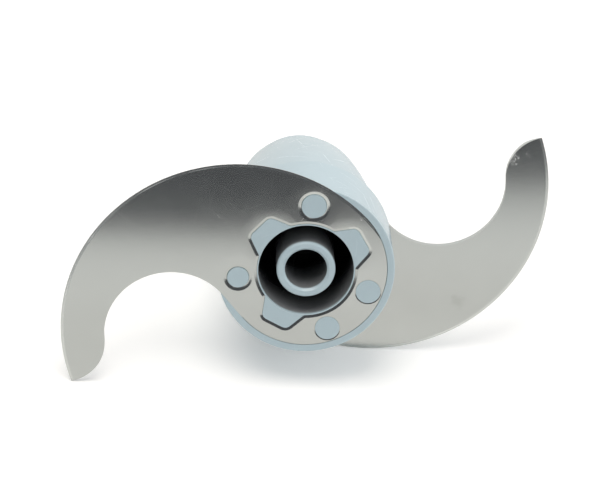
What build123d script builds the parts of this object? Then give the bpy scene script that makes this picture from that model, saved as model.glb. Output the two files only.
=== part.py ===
from build123d import *
import os
from math import acos, degrees, sqrt

# Food processor blade: two curved knives moulded into one plastic hub.
# Millimetres. The underside lies in the XY plane, and the hub rises along +Z.
# Radii follow one another from the drive bore outwards.

# Sleeve that drops over the spindle
bore_radius = 6.7
bore_bevel = 0.7
sleeve_wall = 2.65
sleeve_draft = 0.5
sleeve_recess = 0.2          # the sleeve stops just short of the underside
sleeve_round = 0.8
key_start = 30.0             # the bore narrows here for the spindle's flatted end
key_step = 0.7
flat_depth = 1.3             # each of the two flats, inside the narrower end
bore_end_thickness = 19.0    # from the bore's end to the hub's far end

# Room round the sleeve for the bowl's middle tube
tube_gap = 5.85
tube_space_draft = 0.6       # narrowing towards the closed end
tube_space_round = 1.5
closed_end_thickness = 14.0  # from this room's end to the hub's far end

# Knife, one stamping used twice
blade_thickness = 2.0
rim_of_hole = 0.35           # plastic between the tube's room and the knife's middle hole
plate_band = 10.35           # metal between the middle hole and the edge of the round middle
throat_gap = 0.96            # between the round middle and the circle of the throat
throat_radius = 21.3         # hollow inner arc behind the cutting edge
horn_width = 14.65           # from the throat out to the point
tip_radius = 13.5            # rounded end that runs out to the point
knife_angle = 153.5          # direction of the throat's center and of the point
edge_touch_angle = -41.5     # where the long cutting edge leaves the round middle

# Grinding of the cutting edge
grind_width = 6.0            # main bevel, on the side towards the hub's far end
grind_depth = 1.55
burr_width = 0.9             # fine counter bevel on the underside
burr_depth = 0.22
burr_run_in = 11.0           # turn about the edge's center before the wheel reaches its full cut
plate_bevel = 0.2            # broken edge of the round middle, also on the underside
tool_overrun = 1.0           # how far the grinding passes the metal

# Places where the plastic passes through each knife
pattern_angle = -134.6       # the pattern's line of symmetry, through one lobe
lobe_turns = (0.0, 106.0, -106.0)
lobe_web = 5.1               # metal between a lobe's flat end and the edge of the round middle
lobe_end_width = 8.8
lobe_root_width = 14.1
lobe_corner = 2.2
lobe_root_corner = 1.6
stud_outer_web = 0.8         # metal on the two sides of a stud's hole
stud_inner_web = 1.75
small_stud_step = 0.5        # one stud is this much smaller in radius
far_stud_step = 0.5          # the two studs nearest the lobe on the line of symmetry sit further out
wide_lip = 1.2               # rolled lip that stamping leaves on the underside of each hole
narrow_lip = 0.4
middle_lip = 0.9
lip_slope = 0.25             # depth of a lip as a part of its width
middle_lip_round = 0.8       # softens the outer border of the lip round the middle hole

# Hub, outside
upper_blade_height = 20.3    # underside of the upper knife
upper_blade_turn = 181.0
cover_thickness = 1.0        # plastic over the upper knife, which locks it in
rim_width = 2.3              # flange outside the round middle of the knives
rim_round = 0.4              # on the upper edge of the flange
rim_bevel = 0.3              # on its lower edge
shoulder_step = 2.2          # from the flange in to the foot of the grip
foot_round = 1.2
grip_middle_taper = 1.8
grip_top_taper = 3.3
grip_round_height = 5.2      # rounded top of the grip, below the neck
neck_step = 4.0
neck_height = 1.4
lip_overhang = 0.9
lip_height = 3.6
lip_round = 0.8
dish_rim = 3.2               # flat ring round the shallow dish in the closed end
dish_depth = 1.2
dish_draft = 0.8
hub_height = 76.0

# Values that follow from these
key_radius = bore_radius - key_step
key_gap = 2 * (key_radius - flat_depth)
bore_depth = hub_height - bore_end_thickness
sleeve_radius = bore_radius + sleeve_wall
tube_space_radius = sleeve_radius + tube_gap
tube_space_depth = hub_height - closed_end_thickness
middle_hole_radius = tube_space_radius + rim_of_hole
plate_radius = middle_hole_radius + plate_band
lobe_reach = plate_radius - lobe_web
stud_radius = (plate_band - stud_outer_web - stud_inner_web) / 2
stud_circle = plate_radius - stud_outer_web - stud_radius
flange_radius = plate_radius + rim_width
flange_height = upper_blade_height + blade_thickness + cover_thickness
foot_radius = flange_radius - shoulder_step
grip_middle_radius = foot_radius - grip_middle_taper
grip_top_radius = grip_middle_radius - grip_top_taper
neck_radius = grip_top_radius - neck_step
lip_radius = neck_radius + lip_overhang
dish_radius = lip_radius - dish_rim
lip_bottom = hub_height - lip_height
neck_bottom = lip_bottom - neck_height
grip_top = neck_bottom - grip_round_height
grip_middle = (flange_height + grip_top) / 2
upper_place = Location((0, 0, upper_blade_height), (0, 0, upper_blade_turn))

# Round studs: turn from the line of symmetry, distance from the axis, radius, lip of the hole
studs = (
    (51.4, stud_circle + far_stud_step, stud_radius, wide_lip),
    (-51.4, stud_circle + far_stud_step, stud_radius - small_stud_step, wide_lip),
    (156.0, stud_circle, stud_radius, narrow_lip),
    (-154.0, stud_circle, stud_radius, narrow_lip),
)


def polar(radius, angle):
    """Point at a distance from the axis, at an angle from +X."""
    return Vector(radius, 0).rotate(Axis.Z, angle)


def bearing(vector):
    """Angle of a vector in the plan, counted from +X."""
    return Vector(1, 0).get_signed_angle(vector, Vector(0, 0, 1))


def arc_about(center, radius, start, end):
    """Arc about a center from one point to another, the short way round."""
    first = bearing(start - center)
    swing = (bearing(end - center) - first + 180) % 360 - 180
    return CenterArc(center, radius, first, swing)


def crossing(center_a, radius_a, center_b, radius_b):
    """Point where two circles cross, on the left of the line from a to b."""
    link = center_b - center_a
    along = (link.length**2 + radius_a**2 - radius_b**2) / (2 * link.length)
    angle = degrees(acos(along / radius_a))
    return center_a + link.normalized().rotate(Axis.Z, angle) * radius_a


def upright_plane(origin, direction):
    """Plane that stands on the plan along a direction, with its own Y pointing up."""
    return Plane(origin, direction, direction.cross(Vector(0, 0, 1)))


# Points where the arcs of the knife's outline run smoothly into each other
throat_center = polar(plate_radius + throat_gap + throat_radius, knife_angle)
flank_turn = degrees(acos((throat_radius + plate_radius) / throat_center.length))
flank_end = polar(plate_radius, knife_angle - flank_turn)
flank_start = throat_center + polar(throat_radius, knife_angle + 180 - flank_turn)
tip = polar(throat_center.length + throat_radius + horn_width, knife_angle)
tip_center = crossing(throat_center, throat_radius + tip_radius, tip, tip_radius)
throat_end = throat_center + (tip_center - throat_center).normalized() * throat_radius

# The cutting edge touches the round middle from outside and ends at the point
edge_start = polar(plate_radius, edge_touch_angle)
edge_direction = edge_start.normalized()
edge_chord = tip - edge_start
edge_radius = edge_chord.length**2 / (-2 * edge_chord.dot(edge_direction))
edge_center = edge_start - edge_direction * edge_radius

# One lobe of plastic, pointing along +X
lobe_root = sqrt(middle_hole_radius**2 - (lobe_root_width / 2) ** 2)
with BuildSketch() as lobe:
    with BuildLine():
        Polyline(
            (lobe_root, lobe_root_width / 2),
            (lobe_reach, lobe_end_width / 2),
            (lobe_reach, -lobe_end_width / 2),
            (lobe_root, -lobe_root_width / 2),
            close=True,
        )
    make_face()
    fillet(lobe.vertices().group_by(Axis.X)[-1], radius=lobe_corner)

# All holes of a knife: the middle with its three lobes, and four round ones
with BuildSketch() as holes:
    Circle(middle_hole_radius)
    for turn in lobe_turns:
        add(lobe.sketch, rotation=pattern_angle + turn)
    roots = holes.vertices().sort_by_distance((0, 0))[: 2 * len(lobe_turns)]
    fillet(roots, radius=lobe_root_corner)
    for turn, reach, radius, _ in studs:
        with Locations(polar(reach, pattern_angle + turn)):
            Circle(radius)

with BuildSketch() as knife_plan:
    with BuildLine():
        arc_about(edge_center, edge_radius, edge_start, tip)
        arc_about(tip_center, tip_radius, tip, throat_end)
        arc_about(throat_center, throat_radius, throat_end, flank_start)
        Line(flank_start, flank_end)
        Line(flank_end, edge_start)
    make_face()
    Circle(plate_radius)
    add(holes.sketch, mode=Mode.SUBTRACT)

# The grinding wheel goes round the edge's own center, from inside the hub to past the tip
grind_plane = upright_plane(edge_center, edge_direction)
burr_plane = upright_plane(edge_center, edge_direction.rotate(Axis.Z, burr_run_in))
grind_axis = Axis(edge_center, (0, 0, -1))
grind_swing = edge_direction.get_angle(tip - edge_center) + degrees(tool_overrun / edge_radius)
wheel_reach = edge_radius + tool_overrun

# Knife with its main bevel, as the plastic flows round it
with BuildPart() as ground_blank:
    add(knife_plan.sketch)
    extrude(amount=blade_thickness)
    with BuildSketch(grind_plane):
        with BuildLine():
            Polyline(
                (edge_radius - grind_width, blade_thickness),
                (edge_radius, blade_thickness - grind_depth),
                (wheel_reach, blade_thickness - grind_depth),
                (wheel_reach, blade_thickness + tool_overrun),
                (edge_radius - grind_width, blade_thickness + tool_overrun),
                close=True,
            )
        make_face()
    revolve(axis=grind_axis, revolution_arc=grind_swing, mode=Mode.SUBTRACT)

# Finished knife: counter bevel on the underside, and rolled lips round the holes
with BuildPart() as knife:
    add(ground_blank.part)
    with BuildSketch(burr_plane):
        with BuildLine():
            Polyline(
                (edge_radius - burr_width, 0),
                (edge_radius, burr_depth),
                (wheel_reach, burr_depth),
                (wheel_reach, -tool_overrun),
                (edge_radius - burr_width, -tool_overrun),
                close=True,
            )
        make_face()
    revolve(axis=grind_axis, revolution_arc=burr_run_in + grind_swing, mode=Mode.SUBTRACT)
    with BuildSketch(upright_plane((0, 0, 0), edge_direction)):
        with BuildLine():
            Polyline(
                (plate_radius - plate_bevel, 0),
                (plate_radius, plate_bevel),
                (plate_radius, -tool_overrun),
                (plate_radius - plate_bevel, -tool_overrun),
                close=True,
            )
        make_face()
    revolve(axis=Axis.Z, revolution_arc=bearing(flank_end) - edge_touch_angle, mode=Mode.SUBTRACT)
    for turn, reach, radius, lip in studs:
        middle = polar(reach, pattern_angle + turn)
        with BuildSketch(upright_plane(middle, Vector(1, 0, 0))):
            with BuildLine():
                roll = TangentArc((radius + lip, 0), (radius, lip * lip_slope), tangent=(-1, 0))
                Polyline(
                    roll @ 1,
                    (0, lip * lip_slope),
                    (0, -tool_overrun),
                    (radius + lip, -tool_overrun),
                    roll @ 0,
                )
            make_face()
        revolve(axis=Axis(middle, (0, 0, 1)), mode=Mode.SUBTRACT)
    underside = knife.faces().filter_by(Axis.Z).sort_by(Axis.Z)[0]
    rim = underside.inner_wires().sort_by(SortBy.LENGTH)[-1].edges()
    chamfer(rim, length=middle_lip, length2=middle_lip * lip_slope, reference=underside)
    underside = knife.faces().filter_by(Axis.Z).sort_by(Axis.Z)[0]
    fillet(underside.inner_wires().sort_by(SortBy.LENGTH)[-1].edges(), radius=middle_lip_round)

with BuildPart() as lower_blade:
    add(knife.part)

with BuildPart() as upper_blade:
    with Locations(upper_place):
        add(knife.part)

with BuildPart() as hub:
    with BuildSketch(Plane.XZ) as outside:
        with BuildLine():
            Polyline((0, 0), (flange_radius, 0), (flange_radius, flange_height), (foot_radius, flange_height))
            grip = ThreePointArc(
                (foot_radius, flange_height),
                (grip_middle_radius, grip_middle),
                (grip_top_radius, grip_top),
            )
            TangentArc(grip @ 1, (neck_radius, neck_bottom), tangent=grip % 1)
            Polyline(
                (neck_radius, neck_bottom),
                (neck_radius, lip_bottom),
                (lip_radius, lip_bottom),
                (lip_radius, hub_height),
                (dish_radius, hub_height),
                (dish_radius - dish_draft, hub_height - dish_depth),
                (0, hub_height - dish_depth),
                (0, 0),
            )
        make_face()
        chamfer(outside.vertices().sort_by_distance((flange_radius, 0))[0], length=rim_bevel)
        fillet(outside.vertices().sort_by_distance((flange_radius, flange_height))[0], radius=rim_round)
        fillet(outside.vertices().sort_by_distance((foot_radius, flange_height))[0], radius=foot_round)
        for corner in ((lip_radius, lip_bottom), (lip_radius, hub_height)):
            fillet(outside.vertices().sort_by_distance(corner)[0], radius=lip_round)
    revolve(axis=Axis.Z)

    with BuildSketch(Plane.XZ) as tube_space:
        with BuildLine():
            Polyline(
                (0, 0),
                (tube_space_radius, 0),
                (tube_space_radius - tube_space_draft, tube_space_depth),
                (sleeve_radius + sleeve_draft, tube_space_depth),
                (sleeve_radius, sleeve_recess),
                (0, sleeve_recess),
                close=True,
            )
        make_face()
        fillet(tube_space.vertices().group_by(Axis.Y)[-1], radius=tube_space_round)
        fillet(tube_space.vertices().sort_by_distance((sleeve_radius, sleeve_recess))[0], radius=sleeve_round)
    revolve(axis=Axis.Z, mode=Mode.SUBTRACT)

    with BuildSketch(Plane.XZ):
        with BuildLine():
            Polyline(
                (0, sleeve_recess),
                (bore_radius + bore_bevel, sleeve_recess),
                (bore_radius, sleeve_recess + bore_bevel),
                (bore_radius, key_start),
                (0, key_start),
                close=True,
            )
        make_face()
    revolve(axis=Axis.Z, mode=Mode.SUBTRACT)

    with BuildSketch(Plane.XY.offset(key_start)):
        Circle(key_radius)
        Rectangle(2 * key_radius, key_gap, mode=Mode.INTERSECT)
    extrude(amount=bore_depth - key_start, mode=Mode.SUBTRACT)

    add(ground_blank.part, mode=Mode.SUBTRACT)
    with Locations(upper_place):
        add(ground_blank.part, mode=Mode.SUBTRACT)

hub.part.label = "hub"
lower_blade.part.label = "lower_blade"
upper_blade.part.label = "upper_blade"

os.makedirs("parts", exist_ok=True)
export_step(hub.part, "parts/hub.step")
export_step(lower_blade.part, "parts/lower_blade.step")
export_step(upper_blade.part, "parts/upper_blade.step")
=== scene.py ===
"""Food processor blade: satin steel knives in a light blue-grey moulded hub, lying on a pale floor."""

import bpy
import numpy as np
from mathutils import Matrix, Vector

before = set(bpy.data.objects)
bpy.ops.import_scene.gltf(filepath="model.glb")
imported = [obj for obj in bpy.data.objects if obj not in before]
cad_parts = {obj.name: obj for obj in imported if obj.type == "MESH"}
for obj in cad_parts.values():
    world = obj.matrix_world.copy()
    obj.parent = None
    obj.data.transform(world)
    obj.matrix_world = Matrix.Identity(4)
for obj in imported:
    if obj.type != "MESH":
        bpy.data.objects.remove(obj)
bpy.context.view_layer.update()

bl_info = {
    "name": "Food Processor Blade",
    "version": (1, 0, 0),
    "blender": (4, 5, 0),
    "location": "3D View > Sidebar > Blade",
    "description": "Finishes the knives and the hub of a food processor blade, and sets its stage",
    "category": "Object",
}

MM = 0.001

# Places on the knife, in its own plan, in metres: the cutting edge and the round middle
EDGE_RADIUS = 55.79 * MM
PLATE_RADIUS = 25.9 * MM
EDGE_TOUCH = np.radians(-41.5)
EDGE_CENTER = (PLATE_RADIUS - EDGE_RADIUS) * np.array([np.cos(EDGE_TOUCH), np.sin(EDGE_TOUCH)])
UPPER_TURN = np.radians(181.0)
UPPER_HEIGHT = 20.3 * MM

# The knife's holes: turn in degrees in its own plan, then distance from the axis and radius in
# millimetres. The lobes count as round. The sheet slopes on beyond each hole's rolled lip: it lies this
# deep at the hole's border, and is level from this reach on.
HOLES = ((-134.6, 15.2, 5.6), (-28.6, 15.2, 5.6), (119.4, 15.2, 5.6),
         (-83.2, 21.7, 3.9), (174.0, 21.7, 3.4), (21.4, 21.2, 3.9), (71.4, 21.2, 3.9))
SLOPE_DEPTH = 0.02 * MM
SLOPE_REACH = 5.0 * MM

# What tells the knife's faces apart: slants, as one less the upward part of the normal, and the room that
# the ground bevel takes from the cutting edge
LIP_SLANT = 0.0005
BEVEL_SLANT = 0.012
STEEPEST_BEVEL = 0.2
WALL_SLANT = 0.5
BEVEL_ROOM = 6.4 * MM

# Grinding lines to a metre off the edge, and to a radian along it
GRINDING_LINES = 260.0

# Painted highlight, a thin pale line beside the cutting edge: where it begins, is full from, is full to and
# ends
EDGE_HIGHLIGHT_LINE = np.array([0.35, 0.5, 0.6, 0.85]) * MM

# Wear: the scratch layers' turns and offsets, how long a scratch is in its widths, and how knocks and
# smudges get ragged borders, by a push of up to half this reach
SCRATCH_LAYERS = ((0.35, 0.0), (1.30, 0.7), (2.45, 1.9))
SCRATCH_STRETCH = 60.0
PATCHES_PER_METRE = 2600.0
RAGGED_PER_METRE = 700.0
RAGGED_REACH = 4.0 * MM
# Pale colour of the knocks' wear and of the painted edge highlight, then the colour of dirt
PALE_WEAR_AND_HIGHLIGHT = (0.86, 0.87, 0.86, 1.0)
DIRT = (0.22, 0.21, 0.19, 1.0)

# Depth of the steel's lines and of the plastic's texture
STEEL_RELIEF = 0.003 * MM
PLASTIC_RELIEF = 0.04 * MM

# Small knocks in each knife's own plan, and the upper knife's smudge: place and reach
LOWER_KNOCKS = np.array([[17.6, -16.9, 0.9], [-27.6, -18.7, 0.5], [-1.1, -17.4, 0.5]]) * MM
UPPER_KNOCKS = np.array([[-66.4, 30.8, 2.8], [-66.9, 28.6, 1.1], [-71.1, 31.8, 0.5]]) * MM
UPPER_SMUDGES = np.array([[-50.2, -19.0, 3.4], [-49.6, -18.0, 1.8]]) * MM

# Room in the hub: the bore and the open space round the sleeve lie within this radius and this depth.
# Painted shade darkens them in two steps, each from one depth to the next and to a shade. Within the
# sleeve's radius the steps start deeper by its bevel, so that its end stays pale.
ROOM_RADIUS = 15.3 * MM
ROOM_DEPTH = 63.0 * MM
PAINTED_ROOM_SHADE = ((0.2 * MM, 1.6 * MM, (0.25, 0.262, 0.27, 1.0)),
               (4.0 * MM, 22.0 * MM, (0.015, 0.016, 0.017, 1.0)))
SLEEVE_RADIUS = 10.2 * MM
SLEEVE_BEVEL = 0.4 * MM

# The hub's side is unwrapped for its scuffs at the first radius. Its rim is rubbed between the next two,
# and from the underside up to the height at which the rubbing has gone.
WRAP_RADIUS = 27.0 * MM
RIM_RADII = (27.6 * MM, 28.1 * MM)
RUBBED_HEIGHTS = (0.2 * MM, 1.2 * MM)
SCUFF_WIDTH = 0.4 * MM

# The floor, by a point on it and its upward direction. It lies a hair below the lower knife's point, the
# upper knife's edge and the hub's shoulder.
FLOOR_POINT = np.array([-75.3, 37.66, 0.05]) * MM
FLOOR_UP = np.array([0.054, -0.952, -0.301])

# The floor's front edge, across to the left and forward towards the camera. The knives reflect it as
# their turn from pale to dark, and the dark end of the room stands on all of it but its first stretch.
FLOOR_EDGE = np.array([[0.7, 0.50], [0.3, 0.585], [-0.075, 0.66], [-0.15, 0.76], [-0.17, 0.88],
                       [-0.7, 1.25], [-2.6, 1.4]])
FLOOR_LENGTH = 2.2

# Added brightness of the floor to the camera and, in reflections, from near the object to further off
FLOOR_GLOW = 0.22
MIRRORED_GLOW = (0.02, 0.26)
MIRRORED_REACH = (0.12, 0.55)

# The dark end of the room: its height, how far it leans forward at the top, and its colour
DARK_HEIGHT = 1.2
DARK_LEAN = 0.35
DARK_COLOR = (0.105, 0.108, 0.118, 1.0)

# Lamps: distances from their target along the floor's up, forward and across, then size and colour
LAMP_TARGET = np.array([0, 0, 30.0]) * MM
MAIN_LAMP = ((0.9, -0.05, 0.16), 0.8, (1.0, 0.95, 0.90))
FILL_LAMP = ((0.5, 0.5, -0.8), 0.6, (1.0, 0.98, 0.96))

# The room's light: its colour, and how much more comes from the camera's right than from its left
ROOM_COLOR = (0.97, 0.98, 1.0, 1.0)
ROOM_TILT = 0.95

# The camera, found from the circles of the hub and the knives in the picture
CAMERA_PLACE = (-0.03168, -0.40635, -0.98012)
CAMERA_RIGHT = (0.99954, 0.0, -0.03035)
CAMERA_UP = (0.01137, -0.92722, 0.37434)
CAMERA_BACK = (-0.02814, -0.37451, -0.92680)


class StageSettings(bpy.types.PropertyGroup):
    """Floor, lamps and camera"""

    floor_color: bpy.props.FloatVectorProperty(
        name="Floor colour", description="Colour of the floor", subtype="COLOR", size=3, min=0, max=1,
        default=(0.92, 0.92, 0.91))
    floor_front: bpy.props.FloatProperty(
        name="Floor in front", description="How much further the floor runs towards the camera",
        unit="LENGTH", default=0.0)
    lamp_power: bpy.props.FloatProperty(
        name="Main lamp", description="Power of the wide lamp overhead", unit="POWER", default=6.0, min=0)
    fill_power: bpy.props.FloatProperty(
        name="Fill lamp", description="Power of the weaker lamp beside the camera", unit="POWER",
        default=1.2, min=0)
    ambient: bpy.props.FloatProperty(
        name="Room light", description="Brightness of the room around the object", default=0.435, min=0)
    lens: bpy.props.FloatProperty(
        name="Lens", description="Focal length of the camera", unit="CAMERA", default=201.0, min=10)


class SteelSettings(bpy.types.PropertyGroup):
    """Finish of the knives"""

    color: bpy.props.FloatVectorProperty(
        name="Steel colour", description="Colour of the satin steel", subtype="COLOR", size=3, min=0, max=1,
        default=(0.51, 0.53, 0.51))
    roughness: bpy.props.FloatProperty(
        name="Roughness", description="Roughness of the satin surface", default=0.092, min=0, max=1)
    grain: bpy.props.FloatProperty(
        name="Grain", description="Width of one line of the rolled grain", unit="LENGTH", default=0.00016,
        min=0.00001)


class PlasticSettings(bpy.types.PropertyGroup):
    """Finish of the hub"""

    color: bpy.props.FloatVectorProperty(
        name="Plastic colour", description="Colour of the moulded plastic", subtype="COLOR", size=3, min=0,
        max=1, default=(0.47, 0.59, 0.64))
    roughness: bpy.props.FloatProperty(
        name="Roughness", description="Roughness of the moulded surface", default=0.24, min=0, max=1)
    texture: bpy.props.FloatProperty(
        name="Texture", description="Size of the fine texture from the mould", unit="LENGTH", default=0.0004,
        min=0.00001)


# Shader nodes


def node_tree(owner):
    """The owner's empty node tree and a function that adds a node with its settings and input values."""
    tree = owner.node_tree if hasattr(owner, "node_tree") else owner
    tree.nodes.clear()

    def add(kind, inputs=(), **settings):
        node = tree.nodes.new(kind)
        for name, value in settings.items():
            setattr(node, name, value)
        for name, value in dict(inputs).items():
            if isinstance(value, bpy.types.NodeSocket):
                tree.links.new(value, node.inputs[name])
            else:
                node.inputs[name].default_value = value
        return node

    return tree, add


def new_group(name, inputs, outputs):
    """An empty node group with named sockets, its input and output nodes, and the adding function."""
    group = bpy.data.node_groups.new(name, "ShaderNodeTree")
    for direction, sockets in (("INPUT", inputs), ("OUTPUT", outputs)):
        for label, kind, value in sockets:
            socket = group.interface.new_socket(label, in_out=direction, socket_type=kind)
            if value is not None:
                socket.default_value = value
    tree, add = node_tree(group)
    return tree, add, add("NodeGroupInput").outputs, add("NodeGroupOutput").inputs


def math_chain(add):
    """A short way to write arithmetic nodes: m("ADD", a, b) gives the output socket."""

    def m(operation, *values, clamp=False):
        node = add("ShaderNodeMath", dict(enumerate(values)), operation=operation, use_clamp=clamp)
        return node.outputs[0]

    return m


def weighted(m, *pairs):
    """Sum of the values, each times its weight."""
    total = 0.0
    for value, weight in pairs:
        total = m("ADD", total, m("MULTIPLY", value, weight))
    return total


def shade(color, factor):
    """The colour made darker or lighter by the factor, with its alpha."""
    return tuple(min(1.0, part * factor) for part in color) + (1.0,)


def from_axis(add, parts):
    """Distance from the Z axis, the root of x squared plus y squared, and the turn about it."""
    m = math_chain(add)
    reach = m("SQRT", m("ADD", m("POWER", parts[0], 2.0), m("POWER", parts[1], 2.0)))
    return reach, m("ARCTAN2", parts[1], parts[0])


def satin_grain_group():
    """Fine parallel lines of rolled or moulded stock, with slow clouds over them.

    Lines are noise stretched many times along X, specks are even noise a little coarser than the lines,
    and clouds are noise at the cloud size.
    """
    tree, add, given, out = new_group(
        "satin grain",
        [("Vector", "NodeSocketVector", None), ("Line width", "NodeSocketFloat", 0.0002),
         ("Stretch", "NodeSocketFloat", 14.0), ("Cloud size", "NodeSocketFloat", 0.012)],
        [("Lines", "NodeSocketFloat", None), ("Clouds", "NodeSocketFloat", None),
         ("Specks", "NodeSocketFloat", None)])
    m = math_chain(add)
    fine = m("DIVIDE", 1.0, given["Line width"])
    along = m("DIVIDE", fine, given["Stretch"])
    scale = add("ShaderNodeCombineXYZ", {"X": along, "Y": fine, "Z": fine}).outputs[0]
    stretched = add("ShaderNodeVectorMath", {0: given["Vector"], 1: scale}, operation="MULTIPLY").outputs[0]
    lines = add("ShaderNodeTexNoise", {"Vector": stretched, "Scale": 1.0, "Detail": 3.0, "Roughness": 0.6})
    specks = add("ShaderNodeTexNoise", {"Vector": given["Vector"], "Scale": m("MULTIPLY", fine, 0.6),
                                        "Detail": 2.0})
    clouds = add("ShaderNodeTexNoise", {"Vector": given["Vector"], "Detail": 3.0,
                                        "Scale": m("DIVIDE", 1.0, given["Cloud size"])})
    tree.links.new(lines.outputs["Fac"], out["Lines"])
    tree.links.new(clouds.outputs["Fac"], out["Clouds"])
    tree.links.new(specks.outputs["Fac"], out["Specks"])
    return tree


def fine_wear_group():
    """Hair scratches and the broken patches of small knocks.

    Each scratch layer is noise stretched along its own direction, kept where it is highest, and the
    highest of the layers counts. Patches are the high parts of noise at about 0.4 millimetres.
    """
    tree, add, given, out = new_group(
        "fine wear",
        [("Vector", "NodeSocketVector", None), ("Scratch width", "NodeSocketFloat", 0.0003)],
        [("Scratches", "NodeSocketFloat", None), ("Patches", "NodeSocketFloat", None)])
    m = math_chain(add)
    fine = m("DIVIDE", 1.0, given["Scratch width"])
    along = m("DIVIDE", fine, SCRATCH_STRETCH)
    scale = add("ShaderNodeCombineXYZ", {"X": along, "Y": fine, "Z": 0.0}).outputs[0]
    total = 0.0
    for turn, offset in SCRATCH_LAYERS:
        turned = add("ShaderNodeMapping", {"Vector": given["Vector"], "Rotation": (0, 0, turn),
                                           "Location": (offset, offset, 0)}).outputs[0]
        stretched = add("ShaderNodeVectorMath", {0: turned, 1: scale}, operation="MULTIPLY").outputs[0]
        noise = add("ShaderNodeTexNoise", {"Vector": stretched, "Scale": 1.0, "Detail": 1.0}).outputs["Fac"]
        total = m("MAXIMUM", total, soft_step(add, noise, 0.66, 0.78))
    broken = add("ShaderNodeTexNoise", {"Vector": given["Vector"], "Scale": PATCHES_PER_METRE, "Detail": 3.0})
    tree.links.new(total, out["Scratches"])
    tree.links.new(soft_step(add, broken.outputs["Fac"], 0.53, 0.60), out["Patches"])
    return tree


def soft_step(add, value, start, end, low=0.0, high=1.0):
    """Value that goes softly from low at the start to high at the end."""
    settings = {"Value": value, "From Min": start, "From Max": end, "To Min": low, "To Max": high}
    return add("ShaderNodeMapRange", settings, interpolation_type="SMOOTHSTEP").outputs[0]


def spots(add, vector, places):
    """Mask of round places, one up to a fifth of their reach and zero from their reach."""
    m = math_chain(add)
    mask = 0.0
    for x, y, size in places:
        away = add("ShaderNodeVectorMath", {0: vector, 1: (x, y, 0)}, operation="DISTANCE").outputs["Value"]
        mask = m("MAXIMUM", mask, soft_step(add, away, size * 0.2, size, 1.0, 0.0))
    return mask


def hole_slope(add, vector):
    """Height of the sheet round its holes, from -1 at the nearest hole's border to 0 at the slope's reach.

    With d as the distance from that border in parts of the reach, the height is -(1 - d) squared.
    """
    m = math_chain(add)
    nearest = 1.0
    for turn, out, radius in HOLES:
        center = (out * MM * np.cos(np.radians(turn)), out * MM * np.sin(np.radians(turn)), 0.0)
        away = add("ShaderNodeVectorMath", {0: vector, 1: center}, operation="DISTANCE").outputs["Value"]
        nearest = m("MINIMUM", nearest, m("SUBTRACT", away, radius * MM))
    left = m("SUBTRACT", 1.0, m("DIVIDE", nearest, SLOPE_REACH, clamp=True))
    return m("MULTIPLY", m("MULTIPLY", left, left), -1.0)


def ragged_place(add, place):
    """The place pushed about by noise, which gives round spots ragged borders."""
    noise = add("ShaderNodeTexNoise", {"Vector": place, "Scale": RAGGED_PER_METRE, "Detail": 2.0})
    push = add("ShaderNodeVectorMath", {0: noise.outputs["Color"], 1: (0.5, 0.5, 0.5)}, operation="SUBTRACT")
    return add("ShaderNodeVectorMath", {0: push.outputs[0], 1: (RAGGED_REACH, RAGGED_REACH, 0), 2: place},
               operation="MULTIPLY_ADD").outputs[0]


def mix_color(add, factor, low, high):
    """Colour that goes from low to high with the factor."""
    node = add("ShaderNodeMix", data_type="RGBA")
    tree = node.id_data
    for index, value in ((0, factor), (6, low), (7, high)):
        if isinstance(value, bpy.types.NodeSocket):
            tree.links.new(value, node.inputs[index])
        else:
            node.inputs[index].default_value = value
    return node.outputs[2]


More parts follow.
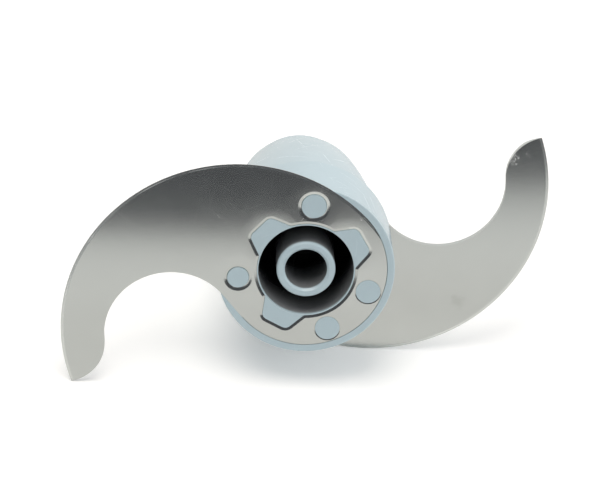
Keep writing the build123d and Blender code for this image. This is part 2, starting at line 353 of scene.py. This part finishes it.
def steel_material(name, settings, grain, wear, turn, height, knocks, smudges):
    """Satin stainless steel in one knife's own plan.

    The plan's coordinates are the object's, turned back and lowered. The distance from the cutting edge is
    the edge's radius less the distance from its center, and the angle about that center runs along the edge.
    """
    material = bpy.data.materials.new(name)
    material.use_nodes = True
    tree, add = node_tree(material)
    m = math_chain(add)
    place = add("ShaderNodeTexCoord").outputs["Object"]
    plan = add("ShaderNodeMapping", {"Vector": place, "Rotation": (0, 0, -turn),
                                     "Location": (0, 0, -height)}).outputs[0]
    flat = add("ShaderNodeVectorMath", {0: plan, 1: (1, 1, 0)}, operation="MULTIPLY").outputs[0]
    from_center = add("ShaderNodeVectorMath", {0: plan, 1: (*EDGE_CENTER, 0.0)},
                      operation="SUBTRACT").outputs[0]
    parts = add("ShaderNodeSeparateXYZ", {0: from_center}).outputs
    reach, angle = from_axis(add, parts)
    from_edge = m("SUBTRACT", EDGE_RADIUS, reach)

    # The slant of a face tells the ground bevels and the holes' rolled lips from the flat sheet, and its
    # sheared walls from both
    facing = add("ShaderNodeSeparateXYZ", {0: add("ShaderNodeNewGeometry").outputs["True Normal"]}).outputs[2]
    slant = m("SUBTRACT", 1.0, m("ABSOLUTE", facing))
    ground = m("MULTIPLY", m("GREATER_THAN", slant, BEVEL_SLANT), m("LESS_THAN", slant, STEEPEST_BEVEL))
    ground = m("MULTIPLY", ground, m("LESS_THAN", from_edge, BEVEL_ROOM))
    lips = m("MULTIPLY", m("GREATER_THAN", slant, LIP_SLANT), m("GREATER_THAN", from_edge, BEVEL_ROOM))
    walls = m("GREATER_THAN", slant, WALL_SLANT)

    # Grinding lines run across the edge, so their noise changes fast along it
    across_edge, along_edge = (m("MULTIPLY", value, GRINDING_LINES) for value in (from_edge, angle))
    grind_place = add("ShaderNodeCombineXYZ", {"X": across_edge, "Y": along_edge, "Z": parts[2]}).outputs[0]
    grinding = add("ShaderNodeTexNoise", {"Vector": grind_place, "Scale": 1.0, "Detail": 4.0,
                                          "Roughness": 0.65}).outputs["Fac"]
    satin = add("ShaderNodeGroup", node_tree=grain)
    satin.inputs["Line width"].default_value = settings.grain
    tree.links.new(plan, satin.inputs["Vector"])
    lines, clouds, specks = (satin.outputs[k] for k in ("Lines", "Clouds", "Specks"))

    # Wear: hair scratches all over, broken pale patches at the knocks and dull smudges; and a painted
    # highlight, a thin pale line by the edge
    worn = add("ShaderNodeGroup", node_tree=wear)
    tree.links.new(plan, worn.inputs["Vector"])
    scratches, patches = worn.outputs["Scratches"], worn.outputs["Patches"]
    ragged = ragged_place(add, flat)
    knocked = m("MULTIPLY", spots(add, ragged, knocks), patches)
    dirty = m("MULTIPLY", spots(add, ragged, smudges), soft_step(add, specks, 0.35, 0.65, 0.2, 1.0))
    # Painted highlight: a thin pale line just inside the cutting edge, its strength following the clouds
    edge_highlight = m("MULTIPLY", soft_step(add, from_edge, *EDGE_HIGHLIGHT_LINE[:2]),
             soft_step(add, from_edge, *EDGE_HIGHLIGHT_LINE[2:], 1.0, 0.0))
    edge_highlight = m("MULTIPLY", edge_highlight, soft_step(add, clouds, 0.45, 0.65, 0.05, 0.32))
    # Pale: the knocks' wear and the painted edge highlight together
    pale = m("MAXIMUM", knocked, edge_highlight)

    # Colour: satin sheet and bevels, then scratches, dirt, pale wear and the painted edge highlight over them
    tone = weighted(m, (lines, 0.57), (clouds, 0.532), (specks, 0.228))
    sheet_color = mix_color(add, m("SUBTRACT", tone, 0.21, clamp=True), shade(settings.color, 0.91),
                            shade(settings.color, 1.09))
    ground_color = mix_color(add, grinding, shade(settings.color, 0.95), shade(settings.color, 1.45))
    color = mix_color(add, ground, sheet_color, ground_color)
    color = mix_color(add, m("MULTIPLY", scratches, 0.06), color, shade(settings.color, 1.5))
    color = mix_color(add, m("MULTIPLY", dirty, 0.26), color, DIRT)
    color = mix_color(add, pale, color, PALE_WEAR_AND_HIGHLIGHT)

    # The sheared walls are rougher, the more so in their lines. The clouds lie round 0.5 and leave the
    # sheet at the roughness set.
    rough = weighted(m, (clouds, 0.02), (scratches, 0.018), (pale, 0.45), (ground, 0.12), (lips, 0.05),
                     (walls, 0.16), (m("MULTIPLY", walls, lines), 0.20))
    rough = m("ADD", settings.roughness - 0.01, rough)
    relief = m("ADD", m("MULTIPLY", lines, m("SUBTRACT", 1.0, ground)), m("MULTIPLY", grinding, ground))
    relief = m("SUBTRACT", relief, m("MULTIPLY", knocked, 6.0))
    slope = add("ShaderNodeBump", {"Strength": 1.0, "Distance": SLOPE_DEPTH,
                                   "Height": hole_slope(add, flat)}).outputs[0]
    bump = add("ShaderNodeBump", {"Strength": 0.06, "Distance": STEEL_RELIEF, "Height": relief,
                                  "Normal": slope}).outputs[0]
    shader = add("ShaderNodeBsdfPrincipled", {"Base Color": color, "Metallic": 1.0, "Roughness": rough,
                                              "Normal": bump})
    output = add("ShaderNodeOutputMaterial")
    tree.links.new(shader.outputs[0], output.inputs[0])
    return material


def plastic_material(name, settings, grain, wear):
    """Satin moulded plastic: fine even texture, slow clouds of colour, pale scuffs, a rubbed rim, painted
    shade.

    Scuffs lie on the hub's surface unwrapped: the way round it, and the height plus the distance out.
    """
    material = bpy.data.materials.new(name)
    material.use_nodes = True
    tree, add = node_tree(material)
    m = math_chain(add)
    place = add("ShaderNodeTexCoord").outputs["Object"]
    parts = add("ShaderNodeSeparateXYZ", {0: place}).outputs
    reach, turn = from_axis(add, parts)
    mould = add("ShaderNodeGroup", node_tree=grain)
    for label, value in (("Line width", settings.texture), ("Stretch", 1.0), ("Cloud size", 20.0 * MM)):
        mould.inputs[label].default_value = value
    tree.links.new(place, mould.inputs["Vector"])
    lines, clouds, specks = (mould.outputs[k] for k in ("Lines", "Clouds", "Specks"))
    color = mix_color(add, clouds, shade(settings.color, 0.965), shade(settings.color, 1.035))

    # Wear: the flange's rim is rubbed close to the underside, and scuffs are stronger in the clouds
    round_hub = m("MULTIPLY", turn, WRAP_RADIUS)
    outwards = m("ADD", parts[2], reach)
    wrapped = add("ShaderNodeCombineXYZ", {"X": round_hub, "Y": outwards, "Z": 0.0}).outputs[0]
    worn = add("ShaderNodeGroup", node_tree=wear)
    worn.inputs["Scratch width"].default_value = SCUFF_WIDTH
    tree.links.new(wrapped, worn.inputs["Vector"])
    low_end = soft_step(add, parts[2], *RUBBED_HEIGHTS, 1.0, 0.0)
    rim = m("MULTIPLY", soft_step(add, reach, *RIM_RADII), low_end)
    rubbed = m("MULTIPLY", rim, m("ADD", 0.25, m("MULTIPLY", worn.outputs["Patches"], 0.35)))
    scuffs = m("MULTIPLY", worn.outputs["Scratches"], m("MULTIPLY", clouds, 0.5))
    pale = m("MAXIMUM", rubbed, scuffs)
    color = mix_color(add, pale, color, tuple(part * 0.75 + 0.25 for part in settings.color) + (1.0,))

    # Painted shade: the room round the sleeve and the bore darken with depth
    inside = m("MULTIPLY", m("LESS_THAN", reach, ROOM_RADIUS), m("LESS_THAN", parts[2], ROOM_DEPTH))
    below = m("SUBTRACT", parts[2], m("MULTIPLY", m("LESS_THAN", reach, SLEEVE_RADIUS), SLEEVE_BEVEL))
    for start, end, painted_shade in PAINTED_ROOM_SHADE:
        depth = m("MULTIPLY", inside, soft_step(add, below, start, end))
        color = mix_color(add, depth, color, painted_shade)

    rough = m("ADD", settings.roughness - 0.05, weighted(m, (specks, 0.10), (pale, 0.15)))
    bump = add("ShaderNodeBump", {"Strength": 0.10, "Distance": PLASTIC_RELIEF, "Height": lines})
    shader = add("ShaderNodeBsdfPrincipled", {"Base Color": color, "Roughness": rough, "IOR": 1.5,
                                              "Normal": bump.outputs[0]})
    output = add("ShaderNodeOutputMaterial")
    tree.links.new(shader.outputs[0], output.inputs[0])
    return material


def shared_groups():
    """The two node groups that all materials use, made once."""
    made = bpy.data.node_groups
    return made.get("satin grain") or satin_grain_group(), made.get("fine wear") or fine_wear_group()


def set_material(item, material):
    """Make the material the piece's only one."""
    item.data.materials.clear()
    item.data.materials.append(material)


# Stage


def plane_axes(up, towards):
    """Unit vectors of a plane: along it towards a direction, across it, and its normal."""
    up = np.array(up, float) / np.linalg.norm(up)
    forward = np.array(towards, float)
    forward -= up * (forward @ up)
    forward /= np.linalg.norm(forward)
    return forward, np.cross(forward, up), up


def strip_mesh(name, edge, side):
    """A strip of flat faces between a row of points and the same row moved sideways: edge and edge + side."""
    points = np.concatenate([edge, edge + side])
    first = np.arange(len(edge) - 1)
    faces = np.stack([first, first + 1, first + 1 + len(edge), first + len(edge)], -1)
    mesh = bpy.data.meshes.new(name)
    mesh.from_pydata(points, [], faces)
    item = bpy.data.objects.new(name, mesh)
    bpy.context.scene.collection.objects.link(item)
    return item


def area_lamp(name, form, axes, power):
    """A round lamp that faces the object and that the camera doesn't see.

    Its place is the target plus the form's three distances, each along one of the axes.
    """
    away, size, color = form
    place = LAMP_TARGET + away @ axes
    lamp = bpy.data.lights.new(name, "AREA")
    lamp.shape = "DISK"
    lamp.size = size
    lamp.energy = power
    lamp.color = color
    item = bpy.data.objects.new(name, lamp)
    item.location = place
    item.rotation_mode = "QUATERNION"
    item.rotation_quaternion = (Vector(LAMP_TARGET) - Vector(place)).to_track_quat("-Z", "Y")
    bpy.context.scene.collection.objects.link(item)
    item.visible_camera = False
    return item


def floor_material(color):
    """Matt floor that glows a little to the camera and in reflections, and is clear from below.

    In reflections the glow grows with the distance from the object's origin.
    """
    material = bpy.data.materials.new("pale floor")
    material.use_nodes = True
    tree, add = node_tree(material)
    paint = add("ShaderNodeBsdfDiffuse", {"Color": (*color, 1.0)})
    seen = add("ShaderNodeLightPath")
    away = add("ShaderNodeVectorMath", {0: add("ShaderNodeTexCoord").outputs["Object"]},
               operation="LENGTH").outputs["Value"]
    mirrored = soft_step(add, away, *MIRRORED_REACH, *MIRRORED_GLOW)
    strength = add("ShaderNodeMix", {0: seen.outputs["Is Camera Ray"], 2: mirrored, 3: FLOOR_GLOW}).outputs[0]
    glow = add("ShaderNodeEmission", {"Color": (1, 1, 1, 1), "Strength": strength})
    bright = add("ShaderNodeAddShader", {0: paint.outputs[0], 1: glow.outputs[0]})
    shown = add("ShaderNodeMath", {0: seen.outputs["Is Camera Ray"], 1: seen.outputs["Is Glossy Ray"]},
                operation="MAXIMUM").outputs[0]
    lit = add("ShaderNodeMixShader", {0: shown, 1: paint.outputs[0], 2: bright.outputs[0]})
    clear = add("ShaderNodeBsdfTransparent")
    side = add("ShaderNodeMixShader", {0: add("ShaderNodeNewGeometry").outputs["Backfacing"],
                                       1: lit.outputs[0], 2: clear.outputs[0]})
    output = add("ShaderNodeOutputMaterial")
    tree.links.new(side.outputs[0], output.inputs[0])
    return material


def dark_material():
    """Even dark grey that no light changes."""
    material = bpy.data.materials.new("dark room")
    material.use_nodes = True
    tree, add = node_tree(material)
    dark = add("ShaderNodeEmission", {"Color": DARK_COLOR, "Strength": 1.0})
    output = add("ShaderNodeOutputMaterial")
    tree.links.new(dark.outputs[0], output.inputs[0])
    return material


def room_light(brightness):
    """White room to the camera and in reflections, and softer as light, with more of it from the right.

    The light's strength is its brightness times one plus the tilt times the direction's part to the right.
    """
    world = bpy.data.worlds.new("pale room")
    world.use_nodes = True
    tree, add = node_tree(world)
    rays = add("ShaderNodeLightPath").outputs
    m = math_chain(add)
    shown = m("MAXIMUM", rays["Is Camera Ray"],
              m("MAXIMUM", rays["Is Glossy Ray"], rays["Is Transmission Ray"]))
    aim = add("ShaderNodeVectorMath", {0: add("ShaderNodeTexCoord").outputs["Generated"],
                                       1: CAMERA_RIGHT}, operation="DOT_PRODUCT").outputs["Value"]
    strength = m("MULTIPLY", m("ADD", 1.0, m("MULTIPLY", aim, ROOM_TILT)), brightness)
    soft = add("ShaderNodeBackground", {"Color": ROOM_COLOR, "Strength": strength})
    white = add("ShaderNodeBackground", {"Color": (1, 1, 1, 1), "Strength": 1.0})
    both = add("ShaderNodeMixShader", {0: shown, 1: soft.outputs[0], 2: white.outputs[0]})
    output = add("ShaderNodeOutputWorld")
    tree.links.new(both.outputs[0], output.inputs[0])
    return world


def photo_camera(lens):
    """The camera at the picture's place and viewing angle."""
    camera = bpy.data.cameras.new("camera")
    camera.lens = lens
    camera.clip_start, camera.clip_end = 0.05, 20.0
    item = bpy.data.objects.new("camera", camera)
    turn = Matrix((CAMERA_RIGHT, CAMERA_UP, CAMERA_BACK)).transposed().to_4x4()
    item.matrix_world = Matrix.Translation(CAMERA_PLACE) @ turn
    bpy.context.scene.collection.objects.link(item)
    return item


class BLADE_OT_stage(bpy.types.Operator):
    """Make the pale floor, the lamps, the room light and the camera"""

    bl_idname = "blade.stage"
    bl_label = "Stage"

    def execute(self, context):
        settings = context.scene.blade_stage
        scene = context.scene
        forward, across, up = plane_axes(FLOOR_UP, (0, 0, -1))

        # Floor, and the dark end of the room beyond it, which only reflections meet
        edge = FLOOR_POINT + (FLOOR_EDGE + (0.0, settings.floor_front)) @ np.array([across, forward])
        floor = strip_mesh("floor", edge, forward * -FLOOR_LENGTH)
        set_material(floor, floor_material(settings.floor_color))
        dark_end = strip_mesh("dark_end", edge[1:], up * DARK_HEIGHT + forward * DARK_LEAN)
        set_material(dark_end, dark_material())
        for ray in ("visible_camera", "visible_diffuse", "visible_shadow", "visible_transmission"):
            setattr(dark_end, ray, False)

        axes = np.array([up, forward, across])
        area_lamp("main_lamp", MAIN_LAMP, axes, settings.lamp_power)
        area_lamp("fill_lamp", FILL_LAMP, axes, settings.fill_power).visible_glossy = False
        scene.world = room_light(settings.ambient)
        scene.camera = photo_camera(settings.lens)
        scene.view_settings.view_transform = "Standard"
        return {"FINISHED"}


class BLADE_OT_finish_knives(bpy.types.Operator):
    """Give both knives their satin steel, with grinding lines on the bevels"""

    bl_idname = "blade.finish_knives"
    bl_label = "Finish the knives"

    def execute(self, context):
        settings = context.scene.blade_steel
        groups = shared_groups()
        for node, *plan in (("lower_blade", 0.0, 0.0, LOWER_KNOCKS, ()),
                            ("upper_blade", UPPER_TURN, UPPER_HEIGHT, UPPER_KNOCKS, UPPER_SMUDGES)):
            steel = steel_material(f"satin steel {node}", settings, *groups, *plan)
            set_material(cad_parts[node], steel)
        return {"FINISHED"}


class BLADE_OT_finish_hub(bpy.types.Operator):
    """Give the hub its satin moulded plastic"""

    bl_idname = "blade.finish_hub"
    bl_label = "Finish the hub"

    def execute(self, context):
        plastic = plastic_material("moulded plastic", context.scene.blade_plastic, *shared_groups())
        set_material(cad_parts["hub"], plastic)
        return {"FINISHED"}


OPERATORS = (BLADE_OT_finish_hub, BLADE_OT_finish_knives, BLADE_OT_stage)
SETTINGS = (("blade_stage", StageSettings), ("blade_steel", SteelSettings),
            ("blade_plastic", PlasticSettings))


class BLADE_PT_sidebar(bpy.types.Panel):
    """Lists the steps and their settings"""

    bl_idname = "BLADE_PT_sidebar"
    bl_label = "Food Processor Blade"
    bl_space_type = "VIEW_3D"
    bl_region_type = "UI"
    bl_category = "Blade"

    def draw(self, context):
        for operator in OPERATORS:
            self.layout.operator(operator.bl_idname)
        for name, kind in SETTINGS:
            column = self.layout.column()
            for key in kind.__annotations__:
                column.prop(getattr(context.scene, name), key)


def register():
    for kind in (*(kind for _, kind in SETTINGS), *OPERATORS, BLADE_PT_sidebar):
        bpy.utils.register_class(kind)
    for name, kind in SETTINGS:
        setattr(bpy.types.Scene, name, bpy.props.PointerProperty(type=kind))


def unregister():
    for name, _ in SETTINGS:
        delattr(bpy.types.Scene, name)
    for kind in reversed((*(kind for _, kind in SETTINGS), *OPERATORS, BLADE_PT_sidebar)):
        bpy.utils.unregister_class(kind)


def main():
    register()
    bpy.ops.blade.finish_hub()
    bpy.ops.blade.finish_knives()
    bpy.ops.blade.stage()


if __name__ == "__main__":
    main()
